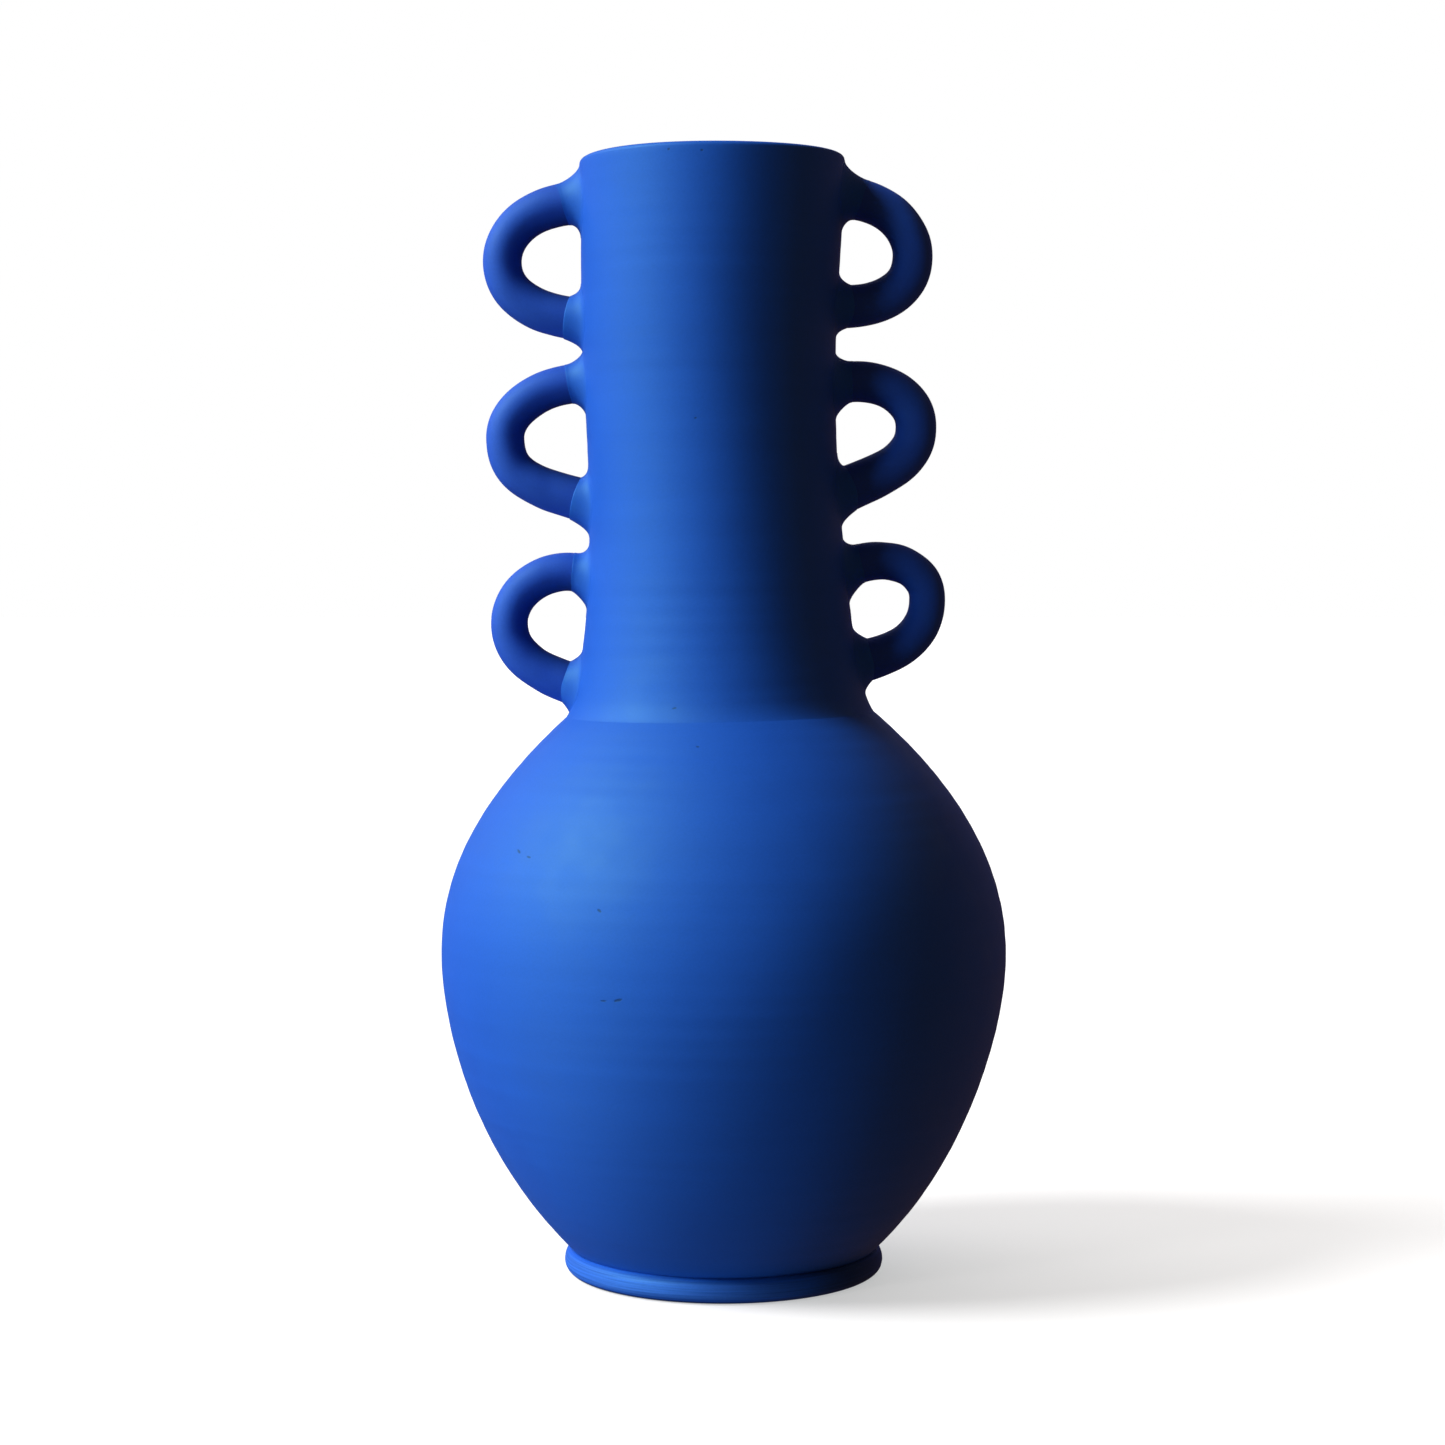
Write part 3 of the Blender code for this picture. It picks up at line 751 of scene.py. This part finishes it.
@dataclass(frozen=True)
class Neck:
    """The thrown neck: a tube on the shoulder, a little bent and leaning to the left.

    Attributes:
        lean: Its lean towards -X, in degrees, about the middle of the belly.
        pivot: That middle's height.
        seat_height: The seat's height above the floor, before the lean.
        length: From the seat to the top of the lip.
        base_radius: Outside radius at the seat.
        waist_radius: Outside radius where it is narrowest.
        waist_height: The height of that place above the seat.
        rim_radius: Outside radius at the lip.
        seat_slope: How far the shoulder leans in at the seat, in degrees from upright.
        luting_height: How high the slip in the crease reaches up the wall.
        wall: Its thickness.
        lip: The lip's rounding outside.
        inner_lip: The lip's rounding inside.
        bends: Sideways moves of its axis at three heights, each (height, move).
        rim_rises: The rim's unevenness: (turns round the rim, height, start in degrees) of each wave.
        columns: Points round it.
        throwing: How deep the rings of the wheel are.
    """

    lean: float = 1.05
    pivot: float = 92.0
    seat_height: float = 162.3
    length: float = 158.0
    base_radius: float = 43.2
    waist_radius: float = 35.8
    waist_height: float = 75.0
    rim_radius: float = 37.9
    seat_slope: float = 49.4
    luting_height: float = 4.6
    wall: float = 4.5
    lip: float = 1.3
    inner_lip: float = 2.2
    bends: tuple[tuple[float, float], ...] = ((25.0, 0.30), (104.0, -0.92), (158.0, 0.90))
    rim_rises: tuple[tuple[int, float, float], ...] = ((1, 0.25, 180.0), (3, 0.12, 40.0))
    columns: int = 240
    throwing: float = 0.028

    def outside(self) -> Array:
        """The outside from below the seat to the lip: a straight start inside the shoulder, then two cubic
        curves that meet upright at the waist.

        Returns:
            (radius, height above the seat) points.
        """
        seat, waist = (self.base_radius, 0.0), (self.waist_radius, self.waist_height)
        mean = 0.5 * (self.base_radius + self.waist_radius)
        pull = (mean, 0.16 * self.waist_height)
        low = cubic(seat, pull, (self.waist_radius, 0.5 * self.waist_height), waist, 75)
        lip = (self.rim_radius, self.length - self.lip)
        rise = lip[1] - self.waist_height
        drift = (0.5 * (self.waist_radius + self.rim_radius), lip[1] - 0.5 * rise)
        high = cubic(waist, (self.waist_radius, self.waist_height + 0.3 * rise), drift, lip, 82)
        slope = (seat[0] - pull[0]) / pull[1]
        start = (seat[0] + 2.6 * slope, -2.6)
        return joined(line(start, seat, 4), low, high)

    def radius(self, height: Array) -> Array:
        """The outside radius at each height, along the outside's own points."""
        outside = self.outside()
        return np.interp(height, outside[:, 1], outside[:, 0])

    def bend(self, height: Array) -> Array:
        """The axis's sideways place at each height, eased from each bend to the next."""
        (low, first), (middle, second), (high, third) = self.bends
        move = first + (second - first) * ease(height, low, middle)
        return move + (third - second) * ease(height, middle, high)

    def world(self, x: Array, y: Array, height: Array) -> Array:
        """Carries points from the neck's frame to the world.

        The frame is turned by the lean about the middle of the belly:
        X = x cos L - h sin L and Z = pivot + x sin L + h cos L, where h is the height above that middle.

        Args:
            x: Sideways places.
            y: Places front to back.
            height: Heights above the seat.

        Returns:
            Points, with a last axis of 3.
        """
        lean = math.radians(self.lean)
        above = height + self.seat_height - self.pivot
        across = x * math.cos(lean) - above * math.sin(lean)
        up = self.pivot + x * math.sin(lean) + above * math.cos(lean)
        return np.stack([across, y + 0.0 * across, up], axis=-1)

    def contact(self, origin: Array, way: Array) -> Array:
        """How far along a ray its crossing with the neck's outside is, by Newton's method.

        The crossing is where the distance from the bent axis equals the radius at that height.

        Args:
            origin: Points (x, y, height) in the neck's frame.
            way: The rays' direction.

        Returns:
            The distance from each origin.
        """

        def miss(reach: Array) -> Array:
            """The distance outside the neck at each reach along the rays."""
            at = origin + reach[..., None] * way
            return np.hypot(at[..., 0] - self.bend(at[..., 2]), at[..., 1]) - self.radius(at[..., 2])

        reach = np.zeros(origin.shape[:-1])
        for _ in range(12):
            now = miss(reach)
            slope = (miss(reach + 0.05) - now) / 0.05
            reach = reach - np.clip(now / slope, -6.0, 6.0)
        return reach

    def luting(self) -> Array:
        """The slip smoothed into the crease: a cubic curve from the shoulder's slope to the neck's wall.

        Returns:
            (radius, height above the seat) points, starting under the shoulder.
        """
        away, rise = math.sin(math.radians(self.seat_slope)), math.cos(math.radians(self.seat_slope))
        start = (self.base_radius + 1.9, -1.80)
        end = (float(self.radius(np.array(self.luting_height))), self.luting_height)
        wall = (float(self.radius(np.array(self.luting_height + 1.0))) - end[0], 1.0)
        lead = (start[0] - 1.6 * away, start[1] + 1.6 * rise)
        curve = cubic(start, lead, (end[0] - 2.2 * wall[0], end[1] - 2.2 * wall[1]), end, 12)
        return joined(line((self.base_radius - 0.2, -3.6), start, 2), curve)

    def build(self, finish: Finish) -> None:
        """Turns the profile round the bent axis, (bend + r cos u, r sin u, h), with the rings of the wheel
        and an uneven rim, and leans it.

        Args:
            finish: The neck's finish.
        """
        outside = self.outside()
        inside = outside - self.wall * unit_normals(outside)
        inside[-1] = (self.rim_radius - self.wall, self.length - self.inner_lip)
        top = self.length - self.lip
        outer = arc((self.rim_radius - self.lip, top), self.lip, 0.0, 90.0, 8)
        bore = (self.rim_radius - self.wall + self.inner_lip, self.length - self.inner_lip)
        inner = arc(bore, self.inner_lip, 90.0, 180.0, 8)
        crown = line(tuple(outer[-1]), tuple(inner[0]), 2)
        skin = joined(self.luting(), outside[outside[:, 1] > self.luting_height - 0.5])
        bottom = line(tuple(inside[0]), tuple(skin[0]), 4)[:-1]
        outline = joined(skin, outer, crown, inner, inside[::-2], bottom)
        turn = np.linspace(0.0, FULL_TURN, self.columns, endpoint=False)[None, :]
        along = run_length(outline)[:, None]
        normal = unit_normals(outline)
        radius, height = outline[:, :1], outline[:, 1:]
        shown = ease(height, 0.0, 6.0) * (1.0 - ease(height, top - 1.0, top + 1.0))
        move = shown * (waves(along, turn, 31, (5.0, 16.0), self.throwing) + waves(along, turn, 32, (50.0, 120.0), 0.08))
        radius = radius + normal[:, :1] * move
        rise = sum(size * np.cos(count * turn + math.radians(start)) for count, size, start in self.rim_rises)
        height = height + rise * ease(height, 0.75 * self.length, self.length)
        x, y = self.bend(height) + radius * np.cos(turn), radius * np.sin(turn)
        wear_and_painted_light = 0.10 * bump(outline[:, 1:], self.length, 1.2) + 0.0 * turn
        Skin(self.world(x, y, height), wear_and_painted_light, capped=False).build("neck_wall", finish, Slot.COBALT, ("neck",))


# ---------------------------------------------------------------------------------------------------
# Loops and their collars
# ---------------------------------------------------------------------------------------------------


@dataclass(frozen=True)
class Collar:
    """A collar of soft clay worked round one end of a coil, from a crisp edge on the coil to the neck.

    Attributes:
        reach_in: How far out on the coil its edge is, on the side of the hole.
        reach_side: The same at the front and the back.
        reach_out: The same on the outer side.
        flare_in: How far it spreads on the neck, on the side of the hole.
        flare_side: The same at the front and the back.
        flare_out: The same on the outer side.
        step: How thick its edge is.
        hollow: Where the skirt's pull lies between the coil (0) and its end on the neck (1).
        smear: How far its edge is smeared along the coil, as a share of its reach: 0 leaves it crisp.
    """

    reach_in: float = 4.2
    reach_side: float = 4.7
    reach_out: float = 4.2
    flare_in: float = 3.9
    flare_side: float = 3.2
    flare_out: float = 3.0
    step: float = 0.26
    hollow: float = 0.42
    smear: float = 0.0


@dataclass(frozen=True)
class Loop:
    """A rolled coil bent into a loop, as two cubic curves that meet upright at its crown.

    Distances out are from the neck's own axis, and heights are above its seat.

    Attributes:
        name: The loop's place.
        side: Its column.
        root: How far out its centre line starts and ends.
        low: The lower end's height.
        low_angle: The lower end's rise, in degrees.
        low_pull: The lower end's pull.
        crown_out: How far out the crown is.
        crown: The crown's height.
        crown_pulls: The crown's pulls, down and up.
        high: The upper end's height.
        high_angle: The upper end's rise, in degrees.
        high_pull: The upper end's pull.
        widths: The coil's thickness at its lower end, crown and upper end.
        collars: The lower and the upper collar.
        seed: Chooses its unevenness.
        hole_shade: How dark the painted shade is on the coil's side towards the hole, 0 to 1.
        embed: How far the coil carries on into the neck.
        columns: Points round it.
        rows: Points along it.
    """

    name: str
    side: Side
    root: float
    low: float
    low_angle: float
    low_pull: float
    crown_out: float
    crown: float
    crown_pulls: tuple[float, float]
    high: float
    high_angle: float
    high_pull: float
    widths: tuple[float, float, float]
    collars: tuple[Collar, Collar]
    seed: int
    hole_shade: float
    embed: float = 2.4
    columns: int = 80
    rows: int = 240

    def line(self) -> tuple[Array, Array, Array]:
        """The centre line: both curves at fine steps, with a straight piece into the neck at each end.

        Returns:
            Distance along it, zero at the lower end's start; (out, height) points; unit directions.
        """
        low_way = (math.cos(math.radians(self.low_angle)), math.sin(math.radians(self.low_angle)))
        high_way = (math.cos(math.radians(self.high_angle)), math.sin(math.radians(self.high_angle)))
        start, end, crown = (self.root, self.low), (self.root, self.high), (self.crown_out, self.crown)
        down, up = self.crown_pulls
        start_pull = (start[0] + self.low_pull * low_way[0], start[1] + self.low_pull * low_way[1])
        end_pull = (end[0] + self.high_pull * high_way[0], end[1] + self.high_pull * high_way[1])
        inside = 8.0
        before = (start[0] - inside * low_way[0], start[1] - inside * low_way[1])
        after = (end[0] - inside * high_way[0], end[1] - inside * high_way[1])
        points = joined(
            line(before, start, 80),
            cubic(start, start_pull, (crown[0], crown[1] - down), crown, 300),
            cubic(crown, (crown[0], crown[1] + up), end_pull, end, 300),
            line(end, after, 80),
        )
        way = np.gradient(points, axis=0)
        way /= np.linalg.norm(way, axis=1, keepdims=True)
        return run_length(points) - inside, points, way

    def half_width(self, share: Array) -> Array:
        """The coil's radius: the crown's, plus each end's difference times (1 - 2t)^1.5 from that end."""
        low, crown, high = (0.5 * width for width in self.widths)
        near_low = np.clip(1.0 - 2.0 * share, 0.0, 1.0) ** 1.5
        near_high = np.clip(2.0 * share - 1.0, 0.0, 1.0) ** 1.5
        return crown + (low - crown) * near_low + (high - crown) * near_high

    def around(self, neck: Neck, along: Array, turn: Array, reach: Array) -> Array:
        """Points round the coil: centre + reach (cos u N + sin u Y), with N square to the line in its plane.

        N points to the hole, Y to the back.

        Args:
            neck: The neck whose frame it is in.
            along: Distances along the centre line.
            turn: Angles round the coil.
            reach: Distances from the centre line.

        Returns:
            Points in the world.
        """
        return neck.world(*self.local(along, turn, reach))

    def local(self, along: Array, turn: Array, reach: Array) -> tuple[Array, Array, Array]:
        """The same points as around(), in the neck's frame, as x, y and height.

        Args:
            along: Distances along the centre line.
            turn: Angles round the coil.
            reach: Distances from the centre line.

        Returns:
            x, y and height.
        """
        distance, points, way = self.line()
        out, up = (np.interp(along, distance, points[:, k]) for k in (0, 1))
        way_out, way_up = (np.interp(along, distance, way[:, k]) for k in (0, 1))
        inward = reach * np.cos(turn)
        x = self.side.value * (out - way_up * inward)
        return x, reach * np.sin(turn) + 0.0 * x, up + way_out * inward

    def build(self, neck: Neck, finish: Finish, collar_finish: Finish) -> None:
        """Makes the coil and its two collars.

        Args:
            neck: The neck that it stands on.
            finish: The coil's finish.
            collar_finish: The collars' finish.
        """
        length = self.line()[0][-1] - 8.0
        along = np.linspace(-self.embed, length + self.embed, self.rows)[:, None]
        turn = np.linspace(0.0, FULL_TURN, self.columns, endpoint=False)[None, :]
        share = np.clip(along / length, 0.0, 1.0)
        lumps = waves(along, turn, self.seed, (7.0, 26.0), 0.06) + waves(along, turn, self.seed + 50, (30.0, 60.0), 0.07)
        reach = self.half_width(share) + lumps * ease(np.minimum(share, 1.0 - share), 0.08, 0.2)
        points = self.around(neck, along, turn, reach)
        # Painted shade: the coil is darkened on its side towards the hole.
        wear_and_painted_light = 0.12 * ease(reach - self.half_width(share), 0.0, 0.15) - self.hole_shade * np.maximum(np.cos(turn), 0.0) ** 1.5
        Skin(points, wear_and_painted_light, capped=True).build("coil_" + self.name, finish, Slot.COBALT, ("handle_" + self.name,))
        for end, collar in zip(End, self.collars):
            self.build_collar(neck, collar_finish, end, collar, length)

    def build_collar(self, neck: Neck, finish: Finish, end: End, collar: Collar, length: float) -> None:
        """Makes the collar on one end of the coil.

        At each angle round the coil its skirt is a quadratic curve: from the edge on the coil, pulled by a
        point on the neck, to its end on the neck, which it meets smoothly. The ring then closes under the
        neck's surface and inside the coil.

        Args:
            neck: The neck that it stands on.
            finish: Its finish.
            end: Which end of the coil.
            collar: The collar's sizes.
            length: The centre line's length.
        """
        upper = end is End.UPPER
        start = length if upper else 0.0
        out = -1.0 if upper else 1.0
        turn = np.linspace(0.0, FULL_TURN, 96, endpoint=False)[None, :]
        zero = np.zeros_like(turn)
        foot = np.stack(self.local(zero + start, turn, zero), axis=-1)
        ahead = np.stack(self.local(zero + start + out * 2.0, turn, zero), axis=-1)
        way = (ahead - foot)[0, 0] / np.linalg.norm((ahead - foot)[0, 0])
        touch = float(neck.contact(foot[:, :1], way)[0, 0])
        inner, outer, sides = (np.maximum(np.cos(turn), 0.0) ** 2, np.maximum(-np.cos(turn), 0.0) ** 2, np.sin(turn) ** 2)
        reach = inner * collar.reach_in + outer * collar.reach_out + sides * collar.reach_side
        flare = inner * collar.flare_in + outer * collar.flare_out + sides * collar.flare_side
        ragged = waves(zero, turn, self.seed + 7 * (1 + upper), (9.0, 10.0), 0.10)
        edge_at = start + out * (touch + reach + ragged)
        coil = self.half_width(np.clip(edge_at / length, 0.0, 1.0))
        root = float(self.half_width(np.array(start / length)))

        def on_coil(back: float, proud: float) -> Array:
            """A ring of points on the coil, back from the edge and proud of the coil's surface."""
            return np.stack(self.local(edge_at - out * back, turn, coil + proud), axis=-1)

        def on_neck(spread: Array, lift: float) -> Array:
            """A ring of points on the neck, spread from the coil and lifted off the neck's surface."""
            ring = np.stack(self.local(zero + start, turn, root + spread), axis=-1)
            return ring + (neck.contact(ring, way) + lift)[..., None] * way

        pull, last, brim = on_neck(collar.hollow * flare, 0.03), on_neck(flare, 0.04), on_coil(0.25, collar.step)
        crisp, smeared = brim + (pull - brim) * 2.0 / 3.0, on_coil(collar.smear * collar.reach_side, collar.step)
        lead = smeared if collar.smear else crisp
        t = np.linspace(0.0, 1.0, 21)[:, None, None]
        s = 1.0 - t
        skirt = s**3 * brim + 3.0 * s**2 * t * lead + 3.0 * s * t**2 * (last + (pull - last) * 2.0 / 3.0) + t**3 * last
        rows = [
            on_coil(0.0, -0.6),
            on_coil(0.0, 0.05),
            on_coil(0.03, 0.55 * collar.step),
            on_coil(0.10, 0.88 * collar.step),
            skirt,
            on_neck(flare + 0.03, -0.05),
            on_neck(flare, -0.9),
            on_neck(0.5 * flare, -0.9),
            on_neck(zero - 0.6, -0.9),
        ]
        grid = np.concatenate(rows, axis=0)
        wear_and_painted_light = np.zeros(grid.shape[:2])
        wear_and_painted_light[1:7] = collar.step * np.array([0.8, 1.4, 1.6, 1.4, 0.9, 0.5])[:, None]
        points = neck.world(grid[..., 0], grid[..., 1], grid[..., 2])
        name = f"collar_{self.name}_{end.value}"
        Skin(points, wear_and_painted_light, capped=False).build("luted_" + name, finish, Slot.COBALT, (name,))


LOWEST = Collar(reach_side=4.0, reach_out=2.4, flare_out=2.9, hollow=0.62)
LOWER = Collar(flare_out=3.6, hollow=0.38)
LOWER_RIGHT = Collar(reach_out=2.6, flare_out=2.9, step=0.16, hollow=0.40)
UPPER_RIGHT = Collar(reach_out=5.2, flare_out=3.0, step=0.08, hollow=0.48, smear=0.40)
UPPER = Collar(reach_out=4.8, flare_out=3.7, step=0.10, hollow=0.36, smear=0.40)
TOPMOST = Collar(reach_out=6.2, reach_side=5.2, flare_out=4.6, step=0.06, hollow=0.36, smear=0.45)

LOOPS = (
    Loop("left_top", Side.LEFT, 37.0, 113.0, 6, 16.1, 59.7, 129.4, (7.7, 7.4), 146.2, -2, 16.5, (12.3, 11.2, 12.3), (LOWER, TOPMOST), 101, 0.9),
    Loop("left_middle", Side.LEFT, 36.0, 60.7, 17, 15.7, 60.0, 79.4, (11.9, 7.8), 94.8, 2, 13.8, (12.6, 11.0, 11.3), (LOWER, UPPER), 102, 0.9),
    Loop("left_bottom", Side.LEFT, 38.5, 7.4, 18, 8.4, 59.9, 25.9, (11.4, 11.5), 40.0, 23, 8.2, (12.5, 10.7, 11.1), (LOWEST, UPPER), 103, 0.9),
    Loop("right_top", Side.RIGHT, 37.0, 115.3, -2, 13.1, 57.8, 129.4, (9.0, 8.2), 146.2, 0, 12.9, (12.4, 11.3, 12.0), (LOWER_RIGHT, TOPMOST), 104, 0.0),
    Loop("right_middle", Side.RIGHT, 36.0, 62.3, 25, 10.0, 58.0, 80.9, (11.9, 8.8), 93.3, 12, 11.4, (13.3, 11.7, 11.7), (LOWER_RIGHT, UPPER_RIGHT), 105, 0.0),
    Loop("right_bottom", Side.RIGHT, 38.5, 13.0, 10, 11.4, 60.5, 31.5, (12.4, 9.8), 40.7, 24, 10.1, (12.8, 10.3, 11.4), (LOWEST, UPPER_RIGHT), 106, 0.0),
)


# ---------------------------------------------------------------------------------------------------
# Studio
# ---------------------------------------------------------------------------------------------------


@dataclass(frozen=True)
class Studio:
    """The floor, the light and the camera.

    Each lamp is (name, azimuth left of the camera's line, height, width, strength, whether it shines in
    the gloss), with its angles in degrees.

    Attributes:
        lamps: The lamps.
        ambient: The dim light from all round, warm as a room's walls are.
        floor_glow: The floor's own light, which keeps its shadow pale.
        floor_colour: How much light the floor gives back.
        contact_reach: How far from the object its soft contact shadow, painted into the floor's glow, reaches.
        contact_glow: The share of the floor's own light left right under the object, where the contact shadow is
            painted.
    """

    lamps: tuple[tuple[str, float, float, float, float, bool], ...] = (
        ("key", 74.0, 38.0, 24.0, 4.25, True),
        ("front_window", 49.0, 16.0, 8.0, 0.52, False),
        ("left_window", 112.0, 28.0, 40.0, 0.36, True),
        ("rear_window", 140.0, 36.0, 50.0, 0.90, False),
        ("right_wall", -125.0, 20.0, 60.0, 0.13, False),
        ("low_bounce", 68.0, -18.0, 50.0, 0.90, False),
        ("low_window", 70.0, -20.0, 50.0, 0.55, True),
        ("back", 180.0, 15.0, 50.0, 1.0, False),
    )
    ambient: Colour = (0.136, 0.060, 0.042)
    floor_glow: Colour = (0.61, 0.63, 0.63)
    floor_colour: float = 0.52
    contact_reach: float = 170.0
    contact_glow: float = 0.72

    def sun(self, name: str, azimuth: float, height: float, spread: float, strength: float, gloss: bool) -> None:
        """A lamp so far away that its light is even, as wide as spread.

        Args:
            name: Its name.
            azimuth: How far left of the camera's line it stands, in degrees.
            height: How high it stands, in degrees.
            spread: How wide it looks, in degrees.
            strength: Its strength.
            gloss: Whether it shines in the gloss.
        """
        lamp = bpy.data.lights.new(name, "SUN")
        lamp.energy = strength
        lamp.angle = math.radians(spread)
        holder = bpy.data.objects.new(name, lamp)
        holder.rotation_euler = (math.radians(90.0 - height), 0.0, -math.radians(azimuth))
        holder.visible_glossy = gloss
        bpy.context.scene.collection.objects.link(holder)

    def light(self) -> None:
        """Sets the lamps, and a world that is white to look at and dim as a light."""
        for lamp in self.lamps:
            self.sun(*lamp)
        world = bpy.data.worlds.new("studio")
        bpy.context.scene.world = world
        world.use_nodes = True
        tree = world.node_tree
        tree.nodes.clear()
        seen = tree.nodes.new("ShaderNodeLightPath").outputs["Is Camera Ray"]
        dim, white = (tree.nodes.new("ShaderNodeBackground") for _ in range(2))
        dim.inputs["Color"].default_value = (*self.ambient, 1.0)
        white.inputs["Color"].default_value = (1.0, 1.0, 1.0, 1.0)
        both = tree.nodes.new("ShaderNodeMixShader")
        tree.links.new(seen, both.inputs[0])
        tree.links.new(dim.outputs[0], both.inputs[1])
        tree.links.new(white.outputs[0], both.inputs[2])
        output = tree.nodes.new("ShaderNodeOutputWorld")
        tree.links.new(both.outputs[0], output.inputs["Surface"])

    def lay_floor(self) -> None:
        """Lays a pale floor that takes the object's shadow and gives it no light back, with a soft contact shadow
        painted into its glow by ambient occlusion.
        """
        half = 12.0
        mesh = bpy.data.meshes.new("floor")
        corners = [(-half, -half, 0.0), (half, -half, 0.0), (half, half, 0.0), (-half, half, 0.0)]
        mesh.from_pydata(corners, [], [(0, 1, 2, 3)])
        material = bpy.data.materials.new("pale_floor")
        bench = Bench(material)
        pale = (self.floor_colour,) * 3 + (1.0,)
        matte = bench.add("BsdfDiffuse", {"Color": pale})
        glow = bench.add("Emission", {"Color": (*self.floor_glow, 1.0), "Strength": 1.0})
        # Painted shade: the floor's glow is dimmed near the object by ambient occlusion, a painted contact shadow.
        open_air = bench.add("AmbientOcclusion", {"Distance": self.contact_reach * MM}, samples=8).outputs["AO"]
        bench.tree.links.new(bench.spread(open_air, 0.0, 1.0, self.contact_glow, 1.0), glow.inputs["Strength"])
        both = bench.add("AddShader", {0: matte.outputs[0], 1: glow.outputs[0]})
        bench.add("OutputMaterial", {"Surface": both.outputs[0]})
        mesh.materials.append(material)
        floor = bpy.data.objects.new("floor", mesh)
        bpy.context.scene.collection.objects.link(floor)
        floor.visible_diffuse = False
        floor.visible_glossy = False
        floor.visible_shadow = False

    def set_camera(self) -> None:
        """Stands the camera in front, a little above the belly, looking slightly down."""
        lens = bpy.data.cameras.new("camera")
        lens.lens = 74.57
        lens.sensor_width = 36.0
        lens.clip_start, lens.clip_end = 0.05, 60.0
        camera = bpy.data.objects.new("camera", lens)
        camera.location = (-0.3 * MM, -862.5 * MM, 202.7 * MM)
        camera.rotation_euler = (math.radians(90.0 - 2.905), 0.0, 0.0)
        bpy.context.scene.collection.objects.link(camera)
        bpy.context.scene.camera = camera
        bpy.context.scene.view_settings.view_transform = "Standard"


# ---------------------------------------------------------------------------------------------------
# The whole
# ---------------------------------------------------------------------------------------------------

COBALT = Finish("cobalt_slip")
NECK = Finish(
    "cobalt_slip_neck",
    scars=(
        Scar((-13.5, -40.6, 164.9), (0.95, -0.31, 0.3), 1.4, 0.6),
        Scar((-15.0, -36.0, 318.0), (0.92, -0.38, 0.1), 0.9, 0.7),
        Scar((-5.9, -37.8, 317.5), (0.99, -0.15, 0.1), 0.8, 0.6),
        Scar((-7.7, -35.6, 244.7), (0.98, -0.21, 0.3), 0.9, 0.6),
    ),
)
BELLY = Finish(
    "cobalt_slip_belly",
    scars=(
        Scar((-55.9, -47.3, 126.0), (0.66, -0.75, -0.55), 3.4, 0.8),
        Scar((-53.0, -51.4, 124.9), (0.69, -0.72, -0.12), 2.2, 0.6),
        Scar((-33.0, -71.3, 112.5), (0.91, -0.42, -0.6), 1.8, 0.8),
        Scar((-31.8, -74.8, 88.9), (0.92, -0.39, 0.05), 2.0, 0.5),
        Scar((-27.8, -76.4, 89.3), (0.94, -0.34, 0.3), 2.4, 0.8),
        Scar((-7.0, -50.8, 154.9), (0.99, -0.14, -0.3), 1.1, 0.6),
    ),
)
FOOT = Finish(
    "brushed_foot_slip",
    thin_and_lit_colour=(0.018, 0.100, 0.48),
    roughness=0.70,
    specular=0.40,
    ring=0.03,
    streak=0.22,
)
# Painted shade: a darker, duller copy of the slip for the coils.
SHADED_COIL = Finish(
    "cobalt_slip_coil_shaded",
    colour=(0.0095, 0.062, 0.43),
    gloss_tint=(0.45, 1.0, 0.65),
    roughness=0.66,
    specular=0.42,
)


def main() -> None:
    """Builds every piece in order, then the studio."""
    logging.basicConfig(level=logging.INFO, format="%(name)s: %(message)s")
    neck = Neck()
    Foot().build(FOOT)
    Belly().build(BELLY)
    neck.build(NECK)
    for loop in LOOPS:
        loop.build(neck, SHADED_COIL, COBALT)
    studio = Studio()
    studio.light()
    studio.lay_floor()
    studio.set_camera()


if __name__ == "__main__":
    main()
